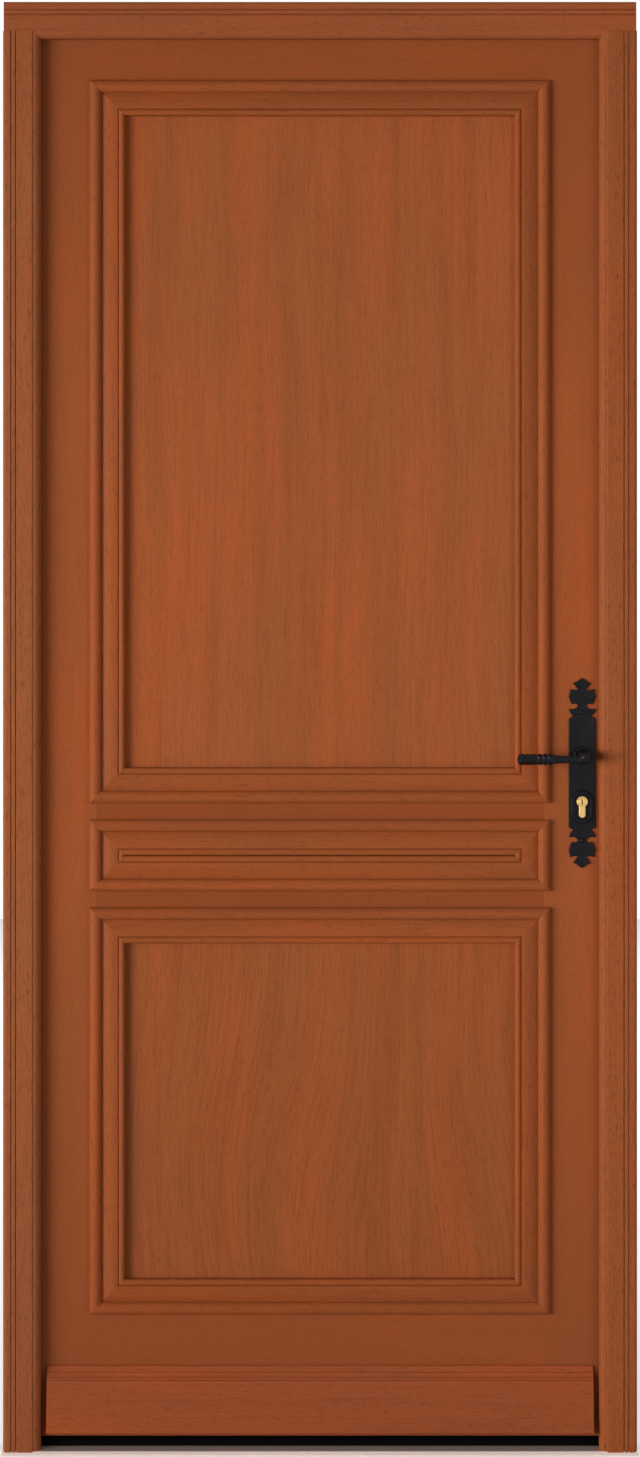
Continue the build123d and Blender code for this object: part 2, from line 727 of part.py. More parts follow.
# Latch bolt with a bevelled nose, and a tail whose lug hangs behind the follower's arm
bolt_y_range = (leaf_middle - bolt_width / 2, leaf_middle + bolt_width / 2)
lug_front = spindle_x - follower_arm_width / 2 - latch_lug_gap
lug_back = lug_front - latch_lug_width
with BuildPart() as latch_bolt:
    upright_block((latch_head_back, leaf_edge + latch_reach), bolt_y_range,
                  (latch_z - latch_height / 2, latch_z + latch_height / 2))
    nose_edges = latch_bolt.faces().sort_by(Axis.X)[-1].edges()
    chamfer(nose_edges.filter_by(Axis.Z).sort_by(Axis.Y)[0], length=latch_bevel)
    upright_block((lug_back, latch_head_back), bolt_y_range,
                  (latch_z - latch_tail_height / 2, latch_z + latch_tail_height / 2))
    upright_block((lug_back, lug_front), bolt_y_range,
                  (spindle_height + follower_radius + latch_lug_rise, latch_z))
keep(latch_bolt.part, "latch_bolt")

# Dead bolt, drawn back level with the faceplate
with BuildPart() as dead_bolt:
    upright_block((dead_bolt_back, leaf_edge), bolt_y_range,
                  (dead_bolt_z - dead_bolt_height / 2, dead_bolt_z + dead_bolt_height / 2))
    upright_block((dead_bolt_back - dead_bolt_tail_length, dead_bolt_back), bolt_y_range,
                  (dead_bolt_z - dead_bolt_tail_height / 2, dead_bolt_z + dead_bolt_tail_height / 2))
keep(dead_bolt.part, "dead_bolt")

# Follower: a nut on journals, with an arm that draws the latch back
with BuildPart() as follower:
    with BuildSketch(wall_plane(leaf_middle)):
        with Locations((spindle_x, spindle_height)):
            Circle(follower_radius)
        with Locations((spindle_x, spindle_height + follower_arm_reach / 2)):
            Rectangle(follower_arm_width, follower_arm_reach)
    extrude(amount=bolt_width / 2, both=True)
    with BuildSketch(wall_plane(leaf_middle)):
        with Locations((spindle_x, spindle_height)):
            Circle(follower_journal_radius)
    extrude(amount=case_thickness / 2, both=True)
    with BuildSketch(wall_plane(leaf_middle)):
        with Locations((spindle_x, spindle_height)):
            Rectangle(spindle_size, spindle_size)
    extrude(amount=case_thickness, both=True, mode=Mode.SUBTRACT)
keep(follower.part, "follower")

# Lock cylinder, cut across its middle for the cam
cylinder_reach = leaf_thickness / 2 + cylinder_stand
cylinder_foot = cylinder_z - cylinder_height + cylinder_head_radius
with BuildPart() as cylinder:
    with BuildSketch(wall_plane(leaf_middle)):
        add(euro_profile(0))
    extrude(amount=cylinder_reach, both=True)
    upright_block((spindle_x - escutcheon_width, spindle_x + escutcheon_width),
                  (leaf_middle - cylinder_slot_width / 2, leaf_middle + cylinder_slot_width / 2),
                  (cylinder_foot + cylinder_bridge_height, cylinder_z + escutcheon_height), Mode.SUBTRACT)
    with BuildSketch(wall_plane(leaf_middle)):
        with Locations((spindle_x, cylinder_z)):
            Circle(plug_radius + running_clearance)
    extrude(amount=cylinder_reach + overrun, both=True, mode=Mode.SUBTRACT)
    for pick in (0, -1):
        end_face = cylinder.faces().filter_by(Axis.Y).sort_by(Axis.Y)[pick]
        chamfer(end_face.edges(), length=cylinder_edge)
keep(cylinder.part, "lock_cylinder")

# Cylinder plug with a keyway in each end, and the cam on its middle
with BuildPart() as plug:
    with BuildSketch(wall_plane(leaf_middle)):
        with Locations((spindle_x, cylinder_z)):
            Circle(plug_radius)
    extrude(amount=cylinder_reach, both=True)
    chamfer(plug.edges().filter_by(GeomType.CIRCLE), length=cylinder_edge)
    for out in (-1, 1):
        end = leaf_middle + out * cylinder_reach
        upright_block((spindle_x - keyway_width / 2, spindle_x + keyway_width / 2),
                      (end + out * overrun, end - out * keyway_depth),
                      (cylinder_z - keyway_height / 2, cylinder_z + keyway_height / 2), Mode.SUBTRACT)
keep(plug.part, "cylinder_plug")

with BuildPart() as cam:
    with BuildSketch(wall_plane(leaf_middle)):
        with Locations((spindle_x, cylinder_z)):
            Circle(cam_ring_radius)
        with Locations((spindle_x, cylinder_z - cam_reach / 2)):
            Rectangle(cam_tab_width, cam_reach)
        with Locations((spindle_x, cylinder_z)):
            Circle(plug_radius, mode=Mode.SUBTRACT)
    extrude(amount=cam_width / 2, both=True)
keep(cam.part, "plug_cam")

# Handle plates with a cross finial at each end, pierced for spindle, cylinder and bolts
finial_shares = [(1.0, 0.0), (0.67, 0.076), (1.0, 0.232), (0.30, 0.258), (0.30, 0.332), (0.79, 0.36),
                 (1.0, 0.56), (0.865, 0.723), (0.30, 0.734), (0.66, 0.85), (0.45, 0.91), (0.0, 1.0)]
plate_top = spindle_height + plate_above_spindle
plate_bottom = plate_top - plate_body_height
plate_hole_radius = follower_journal_radius
faces = {"outside": (leaf_face, -1), "inside": (leaf_back, 1)}


def finial_points(end, direction):
    """Right-hand half of a finial, from the plate's body out to the tip."""
    return [(spindle_x + across * plate_width / 2, end + direction * along * finial_length)
            for across, along in finial_shares]


def plate_outline():
    """The whole plate outline, the right half run up and the left half mirrored down."""
    right = finial_points(plate_bottom, -1)[::-1] + finial_points(plate_top, 1)
    left = [(2 * spindle_x - x, z) for x, z in right[1:-1]]
    return right + left[::-1]


for name, (face, out) in faces.items():
    with BuildPart() as plate:
        with BuildSketch(wall_plane(face)):
            draw_outline(plate_outline())
        extrude(amount=-out * plate_thickness)
        outer_face = plate.faces().sort_by(Axis.Y)[0 if out < 0 else -1]
        chamfer(outer_face.edges(), length=plate_edge)
        with BuildSketch(wall_plane(face)):
            add(euro_profile(fit_clearance))
            with Locations((spindle_x, spindle_height)):
                Circle(plate_hole_radius)
            for height in plate_bolt_heights:
                with Locations((spindle_x, height)):
                    Circle(plate_bolt_radius + fit_clearance)
        extrude(amount=-out * (plate_thickness + overrun), mode=Mode.SUBTRACT)
    keep(plate.part, f"{name}_plate")

# Collars round the levers' necks, each a turned ring with a hollow front
collar_lip_share = 0.55
for name, (face, out) in faces.items():
    seat = face + out * plate_thickness
    front = seat + out * collar_height
    neck_bore = lever_neck_radius + running_clearance
    with BuildPart() as collar:
        with BuildSketch(Plane.XY.offset(spindle_height)):
            with BuildLine():
                Polyline((spindle_x + neck_bore, seat), (spindle_x + collar_radius, seat),
                         (spindle_x + collar_radius, seat + out * collar_lip_share * collar_height))
                bulge_radius = (neck_bore + collar_radius) / 2
                ThreePointArc((spindle_x + collar_radius, seat + out * collar_lip_share * collar_height),
                              (spindle_x + bulge_radius, front),
                              (spindle_x + neck_bore, seat + out * collar_lip_share * collar_height))
                Line((spindle_x + neck_bore, seat + out * collar_lip_share * collar_height),
                     (spindle_x + neck_bore, seat))
            make_face()
        revolve(axis=Axis((spindle_x, seat, spindle_height), (0, 1, 0)))
    keep(collar.part, f"{name}_collar")

# Escutcheons: a raised oval rim round a sunk floor that the cylinder passes through
escutcheon_z = cylinder_z - escutcheon_drop
for name, (face, out) in faces.items():
    seat = face + out * plate_thickness
    with BuildPart() as escutcheon:
        with BuildSketch(wall_plane(seat)):
            with Locations((spindle_x, escutcheon_z)):
                SlotOverall(escutcheon_height, escutcheon_width, rotation=90)
        extrude(amount=-out * escutcheon_depth)
        rim = escutcheon.faces().sort_by(Axis.Y)[0 if out < 0 else -1]
        chamfer(rim.edges(), length=escutcheon_depth / 3)
        with BuildSketch(wall_plane(seat + out * escutcheon_floor_depth)):
            with Locations((spindle_x, escutcheon_z)):
                SlotOverall(escutcheon_height - 2 * escutcheon_rim, escutcheon_width - 2 * escutcheon_rim,
                            rotation=90)
        extrude(amount=-out * (escutcheon_depth + overrun), mode=Mode.SUBTRACT)
        with BuildSketch(wall_plane(seat)):
            add(euro_profile(fit_clearance))
        extrude(amount=-out * (escutcheon_depth + overrun), mode=Mode.SUBTRACT)
    keep(escutcheon.part, f"{name}_escutcheon")

# Through bolts of the plates, with a round head outside and a cap nut inside
with BuildPart() as plate_bolts:
    for height in plate_bolt_heights:
        seat = leaf_face - plate_thickness
        far_seat = leaf_back + plate_thickness
        cap_spread = plate_bolt_head_radius ** 2 + plate_bolt_head_height ** 2
        cap_radius = cap_spread / (2 * plate_bolt_head_height)
        cap_sink = cap_radius - sqrt(cap_radius ** 2 - (plate_bolt_head_radius / 2) ** 2)
        cap_middle = plate_bolt_head_height - cap_sink
        with BuildSketch(Plane.XY.offset(height)):
            with BuildLine():
                Line((spindle_x, seat - plate_bolt_head_height),
                     (spindle_x, far_seat + plate_bolt_head_height))
                for start, out in ((seat, -1), (far_seat, 1)):
                    ThreePointArc((spindle_x, start + out * plate_bolt_head_height),
                                  (spindle_x + plate_bolt_head_radius / 2, start + out * cap_middle),
                                  (spindle_x + plate_bolt_head_radius, start))
                    Line((spindle_x + plate_bolt_head_radius, start), (spindle_x + plate_bolt_radius, start))
                Line((spindle_x + plate_bolt_radius, seat), (spindle_x + plate_bolt_radius, far_seat))
            make_face()
        revolve(axis=Axis((spindle_x, seat, height), (0, 1, 0)))
keep(plate_bolts.part, "plate_bolts")

# Square spindle through follower and both lever hubs
spindle_reach = leaf_thickness / 2 + plate_thickness + fit_clearance + spindle_socket
with BuildPart() as spindle:
    with BuildSketch(wall_plane(leaf_middle)):
        with Locations((spindle_x, spindle_height)):
            Rectangle(spindle_size, spindle_size)
    extrude(amount=spindle_reach, both=True)
keep(spindle.part, "spindle")

# Levers: a turned hub, and an arm forged with a square twist, a grip and a rounded head
arm_z = spindle_height - lever_arm_drop
lever_tip = spindle_x - lever_length
twist_end = spindle_x - lever_twist_start
twist_tip = twist_end - lever_twist_length
head_start = lever_tip + lever_head_length
for name, (face, out) in faces.items():
    hub_start = face + out * (plate_thickness + fit_clearance)
    arm_y = face + out * lever_stand_off
    collar_front = face + out * (plate_thickness + collar_height + fit_clearance)
    hub_end = arm_y + out * lever_neck_radius
    with BuildPart() as lever:
        for step in range(lever_twist_steps + 1):
            along = step / lever_twist_steps
            with BuildSketch(Plane.YZ.offset(twist_tip + along * lever_twist_length)):
                with Locations((arm_y, arm_z)):
                    Rectangle(lever_twist_size, lever_twist_size, rotation=along * lever_twist_turn)
        loft()
        with BuildSketch(Plane.XZ.offset(-arm_y)):
            draw_outline([(twist_end, arm_z), (spindle_x, arm_z), (spindle_x, arm_z + lever_arm_radius),
                          (twist_end, arm_z + lever_grip_radius)])
        revolve(axis=Axis((lever_tip, arm_y, arm_z), (1, 0, 0)))
        with BuildSketch(Plane.XZ.offset(-arm_y)):
            with BuildLine():
                head_line = arm_z + lever_head_radius
                Polyline((lever_tip, arm_z), (twist_tip, arm_z), (twist_tip, arm_z + lever_grip_radius),
                         (head_start + lever_ring_width, head_line),
                         (head_start + lever_ring_width, head_line - lever_ring_depth),
                         (head_start, head_line - lever_ring_depth), (head_start, head_line),
                         (lever_tip + lever_head_radius, head_line))
                ThreePointArc((lever_tip + lever_head_radius, head_line),
                              (lever_tip + round_share * lever_head_radius,
                               arm_z + arc_share * lever_head_radius),
                              (lever_tip, arm_z))
            make_face()
        revolve(axis=Axis((lever_tip, arm_y, arm_z), (1, 0, 0)))
        with BuildSketch(Plane.XY.offset(spindle_height)):
            with BuildLine():
                flare = lever_hub_radius - lever_neck_radius
                Polyline((spindle_x, hub_end), (spindle_x, hub_start),
                         (spindle_x + lever_neck_radius, hub_start),
                         (spindle_x + lever_neck_radius, collar_front),
                         (spindle_x + lever_hub_radius, collar_front + out * flare),
                         (spindle_x + lever_neck_radius, hub_end - out * lever_neck_radius))
                ThreePointArc((spindle_x + lever_neck_radius, hub_end - out * lever_neck_radius),
                              (spindle_x + arc_share * lever_neck_radius,
                               hub_end - out * round_share * lever_neck_radius),
                              (spindle_x, hub_end))
            make_face()
        revolve(axis=Axis((spindle_x, face, spindle_height), (0, 1, 0)))
        with BuildSketch(wall_plane(hub_start)):
            with Locations((spindle_x, spindle_height)):
                Rectangle(spindle_size, spindle_size)
        extrude(amount=-out * spindle_socket, mode=Mode.SUBTRACT)
    keep(lever.part, f"{name}_lever")
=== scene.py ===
import math
import bpy
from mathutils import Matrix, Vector


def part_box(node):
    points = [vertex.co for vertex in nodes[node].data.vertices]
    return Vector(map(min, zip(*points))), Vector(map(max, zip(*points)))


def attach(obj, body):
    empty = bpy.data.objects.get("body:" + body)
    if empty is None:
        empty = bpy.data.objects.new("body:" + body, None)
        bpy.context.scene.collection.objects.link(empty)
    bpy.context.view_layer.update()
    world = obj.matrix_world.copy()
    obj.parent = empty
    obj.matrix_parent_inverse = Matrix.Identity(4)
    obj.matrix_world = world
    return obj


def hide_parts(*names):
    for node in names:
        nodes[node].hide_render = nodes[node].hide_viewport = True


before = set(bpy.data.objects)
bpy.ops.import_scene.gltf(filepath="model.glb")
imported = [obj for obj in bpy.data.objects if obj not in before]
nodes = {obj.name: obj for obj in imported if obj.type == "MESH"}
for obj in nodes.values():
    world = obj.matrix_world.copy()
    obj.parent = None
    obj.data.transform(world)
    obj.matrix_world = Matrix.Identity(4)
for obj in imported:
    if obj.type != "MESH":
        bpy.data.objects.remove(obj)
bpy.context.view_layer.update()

# Outer frame: two jambs under a head, planed from solid wood with grooved facings and
# a moulded edge towards the leaf, and stained a red brown. The joints are tenons, and
# the head's facing runs across the tops of the jambs' facings.


def link(tree, start, end):
    """Join an output socket to an input socket."""
    tree.links.new(start, end)


def grain_noise(tree, coords, scale, detail, offset):
    """Noise drawn out along the grain: scale is per metre across, across and along."""
    stretch = tree.nodes.new("ShaderNodeMapping")
    stretch.inputs["Scale"].default_value = scale
    stretch.inputs["Location"].default_value = (offset, offset * 0.7, offset * 1.3)
    link(tree, coords, stretch.inputs["Vector"])
    noise = tree.nodes.new("ShaderNodeTexNoise")
    noise.inputs["Scale"].default_value = 1.0
    noise.inputs["Detail"].default_value = detail
    noise.inputs["Roughness"].default_value = 0.55
    link(tree, stretch.outputs["Vector"], noise.inputs["Vector"])
    return noise.outputs["Fac"]


def spread(tree, value, low, high, top=1.0, bottom=0.0):
    """A value stretched so that low becomes bottom and high becomes top."""
    ranged = tree.nodes.new("ShaderNodeMapRange")
    ranged.inputs["From Min"].default_value = low
    ranged.inputs["From Max"].default_value = high
    ranged.inputs["To Min"].default_value = bottom
    ranged.inputs["To Max"].default_value = top
    link(tree, value, ranged.inputs["Value"])
    return ranged.outputs["Result"]


def tint(tree, amount, under, over):
    """Colour over laid on colour under, by an amount that varies over the wood."""
    mix = tree.nodes.new("ShaderNodeMix")
    mix.data_type = "RGBA"
    link(tree, amount, mix.inputs["Factor"])
    first, second = [socket for socket in mix.inputs if socket.type == "RGBA"]
    if isinstance(under, tuple):
        first.default_value = under
    else:
        link(tree, under, first)
    second.default_value = over
    return [socket for socket in mix.outputs if socket.type == "RGBA"][0]


deep_share = 0.80
pore_share = 0.45
# Painted shade on uprights: none within 0.35 m of this height, the full share from 1.05 m off it.
unshaded_height = 1.20
unshaded_reach = 0.35
end_shade_reach = 1.05


def stained_wood(name, grain, seed, brown, red, figure, pores, waver=0.01, end_shade=0.0):
    """Stained wood with its grain along X or Z: patches, wavering bands, streaks and pores.

    Upright pieces darken towards their ends by a given share: painted shade for the dimmer light at the
    door's top and foot, away from the lamps' height."""
    wood = bpy.data.materials.new(name)
    wood.use_nodes = True
    tree = wood.node_tree
    shader = tree.nodes["Principled BSDF"]
    place = tree.nodes.new("ShaderNodeTexCoord")
    turn = tree.nodes.new("ShaderNodeMapping")
    turn.inputs["Location"].default_value = (seed, seed * 1.7, seed * 2.3)
    if grain == "X":
        turn.inputs["Rotation"].default_value = (0.0, math.radians(90.0), 0.0)
    link(tree, place.outputs["Object"], turn.inputs["Vector"])
    sway = tree.nodes.new("ShaderNodeCombineXYZ")
    drift = grain_noise(tree, turn.outputs["Vector"], (3.2, 3.2, 2.0), 0.0, 6.0)
    link(tree, spread(tree, drift, 0.0, 1.0, waver, -waver), sway.inputs["X"])
    bent = tree.nodes.new("ShaderNodeVectorMath")
    link(tree, turn.outputs["Vector"], bent.inputs[0])
    link(tree, sway.outputs["Vector"], bent.inputs[1])
    along = bent.outputs["Vector"]
    patches = spread(tree, grain_noise(tree, along, (11.0, 11.0, 2.2), 3.0, 3.0), 0.40, 0.62)
    bands = spread(tree, grain_noise(tree, along, (34.0, 34.0, 1.5), 2.0, 1.0), 0.42, 0.66, figure)
    streaks = grain_noise(tree, along, (300.0, 300.0, 9.0), 2.0, 2.0)
    pits = spread(tree, grain_noise(tree, along, (980.0, 980.0, 80.0), 1.0, 4.0), 0.56, 0.70, pores)
    deep = tuple(part * deep_share for part in brown[:3]) + (1.0,)
    dark = tuple(part * pore_share for part in brown[:3]) + (1.0,)
    colour = tint(tree, patches, brown, red)
    colour = tint(tree, bands, colour, deep)
    colour = tint(tree, spread(tree, streaks, 0.45, 0.70, figure * 0.5), colour, dark)
    colour = tint(tree, pits, colour, dark)
    # Painted shade: darker towards the top and foot of upright pieces, where the lamps light less.
    if end_shade:
        parts = tree.nodes.new("ShaderNodeSeparateXYZ")
        link(tree, place.outputs["Object"], parts.inputs["Vector"])
        offset = tree.nodes.new("ShaderNodeMath")
        offset.operation = "SUBTRACT"
        link(tree, parts.outputs["Z"], offset.inputs[0])
        offset.inputs[1].default_value = unshaded_height
        end = tree.nodes.new("ShaderNodeMath")
        end.operation = "ABSOLUTE"
        link(tree, offset.outputs["Value"], end.inputs[0])
        painted_end_shade = spread(tree, end.outputs["Value"], unshaded_reach, end_shade_reach, end_shade)
        colour = tint(tree, painted_end_shade, colour, deep)
    link(tree, colour, shader.inputs["Base Color"])
    relief = tree.nodes.new("ShaderNodeBump")
    relief.inputs["Strength"].default_value = 0.12
    relief.inputs["Distance"].default_value = 0.0004
    relief.invert = True
    link(tree, streaks, relief.inputs["Height"])
    link(tree, relief.outputs["Normal"], shader.inputs["Normal"])
    shader.inputs["Roughness"].default_value = 0.52
    shader.inputs["Specular IOR Level"].default_value = 0.05
    return wood


def dress(material, *names):
    """Give CAD nodes one material."""
    for name in names:
        mesh = nodes[name].data
        mesh.materials.clear()
        mesh.materials.append(material)


jamb_brown = (0.296, 0.090, 0.032, 1.0)
jamb_red = (0.314, 0.084, 0.027, 1.0)
# The lock jamb takes a slightly darker, more saturated copy of the jamb wood: painted shade for the door's
# right side, farther from the left lamp.
shaded_lock_brown = (0.288, 0.080, 0.026, 1.0)
shaded_lock_red = (0.306, 0.075, 0.022, 1.0)
head_brown = (0.302, 0.082, 0.028, 1.0)
head_red = (0.326, 0.078, 0.024, 1.0)
dress(stained_wood("hinge jamb wood", "Z", 3.1, jamb_brown, jamb_red, 0.35, 0.75),
      "hinge_jamb", "hinge_jamb_facing")
dress(stained_wood("lock jamb wood", "Z", 4.4, shaded_lock_brown, shaded_lock_red, 0.35, 0.75),
      "lock_jamb", "lock_jamb_facing")
dress(stained_wood("head wood", "X", 5.7, head_brown, head_red, 0.35, 0.6), "head", "head_facing")

# Threshold: an aluminium apron outside, walked on and dulled, in front of a black
# plastic riser with a drain channel. Both are screwed to the floor under the jambs.


def worked_finish(name, light, dark, roughness, metal, specular, marks, relief, eased=0.0):
    """A finish between two tones, with the marks and relief of its making and edges eased by a radius."""
    finish = bpy.data.materials.new(name)
    finish.use_nodes = True
    tree = finish.node_tree
    shader = tree.nodes["Principled BSDF"]
    place = tree.nodes.new("ShaderNodeTexCoord")
    worked = grain_noise(tree, place.outputs["Object"], marks, 3.0, 0.0)
    link(tree, tint(tree, spread(tree, worked, 0.35, 0.65), light, dark), shader.inputs["Base Color"])
    rubbed = spread(tree, worked, 0.30, 0.70, roughness + 0.07, roughness - 0.07)
    link(tree, rubbed, shader.inputs["Roughness"])
    surface = tree.nodes.new("ShaderNodeBump")
    surface.inputs["Strength"].default_value = relief
    surface.inputs["Distance"].default_value = 0.0005
    link(tree, worked, surface.inputs["Height"])
    if eased:
        edge = tree.nodes.new("ShaderNodeBevel")
        edge.inputs["Radius"].default_value = eased
        link(tree, edge.outputs["Normal"], surface.inputs["Normal"])
    link(tree, surface.outputs["Normal"], shader.inputs["Normal"])
    shader.inputs["Metallic"].default_value = metal
    shader.inputs["Specular IOR Level"].default_value = specular
    return finish


# The apron's pinkish tint is a painted reflection of the red-brown door.
reflecting_aluminium_pale = (0.76, 0.62, 0.56, 1.0)
reflecting_aluminium_dull = (0.62, 0.50, 0.45, 1.0)
drawn_marks = (3.0, 420.0, 420.0)
dress(worked_finish("dull aluminium with painted wood reflection", reflecting_aluminium_pale, reflecting_aluminium_dull, 0.42, 0.6, 0.5, drawn_marks, 0.08),
      "threshold_apron")
plastic_pale = (0.0020, 0.0020, 0.0020, 1.0)
plastic_dark = (0.0010, 0.0010, 0.0010, 1.0)
mould_marks = (600.0, 600.0, 600.0)
dress(worked_finish("black plastic", plastic_pale, plastic_dark, 0.78, 0.0, 0.03, mould_marks, 0.10),
      "threshold_riser")

# Seals: black rubber, a rounded strip pressed into the frame behind its lip and a
# pair of fins under the leaf that wipe the threshold.
rubber_pale = (0.0055, 0.0055, 0.0055, 1.0)
rubber_dark = (0.0030, 0.0030, 0.0030, 1.0)
dress(worked_finish("black rubber", rubber_pale, rubber_dark, 0.78, 0.0, 0.1, (250.0, 250.0, 250.0), 0.06),
      "frame_seal", "bottom_seal")

# Leaf: two full-height stiles with four rails tenoned between them, all of the same
# stained wood, and three panels that stand loose in grooves of the stiles and rails.
stile_brown = (0.292, 0.076, 0.023, 1.0)
stile_red = (0.340, 0.077, 0.021, 1.0)
# The top and bottom rails take a darker copy of the stile wood: painted shade for the dimmer light at the
# door's top and foot and on wood lit across its grain.
shaded_rail_brown = (0.262, 0.066, 0.019, 1.0)
shaded_rail_red = (0.284, 0.067, 0.018, 1.0)
# The middle rails, shut in between two mouldings, take a darker copy still: painted shade cast by the
# mouldings.
shaded_middle_brown = (0.233, 0.058, 0.017, 1.0)
shaded_middle_red = (0.252, 0.059, 0.016, 1.0)
panel_brown = (0.307, 0.085, 0.027, 1.0)
panel_red = (0.354, 0.085, 0.025, 1.0)
lower_brown = (0.286, 0.080, 0.025, 1.0)
lower_red = (0.322, 0.078, 0.022, 1.0)
# The stiles take the painted end shade: darker towards their top and foot, away from the lamps' height.
dress(stained_wood("stile wood with painted end shade", "Z", 8.3, stile_brown, stile_red, 0.30, 0.4, 0.01, 0.75),
      "hinge_stile", "lock_stile")
dress(stained_wood("rail wood", "X", 9.9, shaded_rail_brown, shaded_rail_red, 0.15, 0.3), "top_rail", "bottom_rail")
dress(stained_wood("shaded middle rail wood", "X", 10.6, shaded_middle_brown, shaded_middle_red, 0.15, 0.3),
      "upper_mid_rail", "lower_mid_rail")
dress(stained_wood("upper panel wood", "Z", 12.4, panel_brown, panel_red, 0.45, 0.4),
      "upper_panel", "frieze_panel")
dress(stained_wood("lower panel wood", "Z", 21.7, lower_brown, lower_red, 0.55, 0.4, 0.07), "lower_panel")

# Mouldings: lengths of bolection moulding, mitred at the corners and glued and pinned
# round each panel on both faces, so that they lap over the stiles and rails.
moulding_brown = (0.275, 0.071, 0.021, 1.0)
moulding_red = (0.312, 0.072, 0.019, 1.0)
upright_wood = stained_wood("upright moulding wood", "Z", 14.2, moulding_brown, moulding_red, 0.35, 0.5)
level_wood = stained_wood("level moulding wood", "X", 15.8, moulding_brown, moulding_red, 0.35, 0.5)
for panel in ("upper", "frieze", "lower"):
    dress(upright_wood, f"{panel}_moulding_left", f"{panel}_moulding_right")
    dress(level_wood, f"{panel}_moulding_bottom", f"{panel}_moulding_top")
dress(upright_wood, "upright_room_mouldings")
dress(level_wood, "level_room_mouldings")

# Weatherboard: a moulded board screwed across the foot of the leaf, which throws the
# rain clear of the threshold.
board_brown = (0.298, 0.072, 0.024, 1.0)
board_red = (0.336, 0.073, 0.022, 1.0)
dress(stained_wood("weatherboard wood", "X", 17.6, board_brown, board_red, 0.35, 0.5), "weatherboard")

# Hinges, lock case, faceplate and keep: zinc-plated steel, let into the wood and
# held with countersunk screws.
zinc_pale = (0.60, 0.59, 0.57, 1.0)
zinc_grey = (0.49, 0.48, 0.46, 1.0)
zinc_steel = worked_finish("zinc steel", zinc_pale, zinc_grey, 0.35, 1.0, 0.5, (170.0, 170.0, 170.0), 0.05)
dress(zinc_steel, "hinge_frame_halves", "hinge_leaf_halves", "strike_plate", "strike_screws",
      "lock_case", "lock_cover", "lock_faceplate", "faceplate_screws", "latch_bolt", "dead_bolt",
      "follower", "spindle", "plug_cam")

# Lock cylinder: drawn brass bar, with the plug that the key turns. It passes through
# the lock case and shows in the keyhole rim of each plate.
brass_pale = (0.74, 0.52, 0.21, 1.0)
brass_dull = (0.62, 0.42, 0.15, 1.0)
brushed_marks = (900.0, 60.0, 60.0)
brass = worked_finish("brushed brass", brass_pale, brass_dull, 0.36, 1.0, 0.5, brushed_marks, 0.08, 0.0005)
dress(brass, "lock_cylinder", "cylinder_plug")

# Handle plates: iron sheet sawn to a cross at each end, with filed edges, painted matt
# black and laid on each face of the leaf under the lever.
iron_pale = (0.0062, 0.0056, 0.0078, 1.0)
iron_dark = (0.0036, 0.0032, 0.0046, 1.0)
hammer_marks = (150.0, 150.0, 150.0)
black_iron = worked_finish("black iron", iron_pale, iron_dark, 0.34, 0.0, 0.12, hammer_marks, 0.20, 0.0012)
cross_length = 0.062
filed_edge = 0.0006
plate_half = 0.0200
bolt_hole = 0.0026
spindle_hole = 0.0090
keyhole_half = 0.0095
keyhole_inset = 0.0155
keyhole_drop = 0.0180
# Half of a cross from the plate's shoulder to the tip: across, along, and a corner or a curve.
cross_outline = (
    (1.00, 0.000, "VECTOR"), (0.66, 0.073, "VECTOR"), (0.87, 0.142, "AUTO"), (1.00, 0.247, "VECTOR"),
    (0.62, 0.243, "AUTO"), (0.37, 0.288, "AUTO"), (0.33, 0.330, "AUTO"), (0.37, 0.364, "VECTOR"),
    (0.56, 0.373, "AUTO"), (0.77, 0.356, "VECTOR"), (0.90, 0.460, "AUTO"), (1.00, 0.562, "VECTOR"),
    (0.93, 0.630, "AUTO"), (0.90, 0.732, "VECTOR"), (0.64, 0.714, "AUTO"), (0.38, 0.708, "VECTOR"),
    (0.335, 0.734, "AUTO"), (0.41, 0.760, "VECTOR"), (0.53, 0.818, "AUTO"), (0.67, 0.880, "VECTOR"),
    (0.42, 0.908, "AUTO"), (0.19, 0.962, "AUTO"), (0.00, 1.000, "VECTOR"))


def pick(piece):
    """Make one piece the active one and the only one selected."""
    bpy.ops.object.select_all(action="DESELECT")
    bpy.context.view_layer.objects.active = piece
    piece.select_set(True)


def draw_loop(curve, points):
    """Close a run of corner and curve points into one loop of a flat curve."""
    loop = curve.splines.new("BEZIER")
    loop.bezier_points.add(len(points) - 1)
    for point, (across, up, bend) in zip(loop.bezier_points, points):
        point.co = (across, up, 0.0)
        point.handle_left_type = point.handle_right_type = bend
    loop.use_cyclic_u = True


def round_hole(across, up, radius, drop=0.0):
    """Points of a round hole, drawn down into a slot by a drop."""
    crown = [(across - radius, up, "AUTO"), (across, up + radius, "AUTO"), (across + radius, up, "AUTO")]
    foot = [(across, up - drop - radius, "AUTO")]
    if drop:
        foot = [(across + radius, up - drop, "AUTO")] + foot + [(across - radius, up - drop, "AUTO")]
    return crown + foot


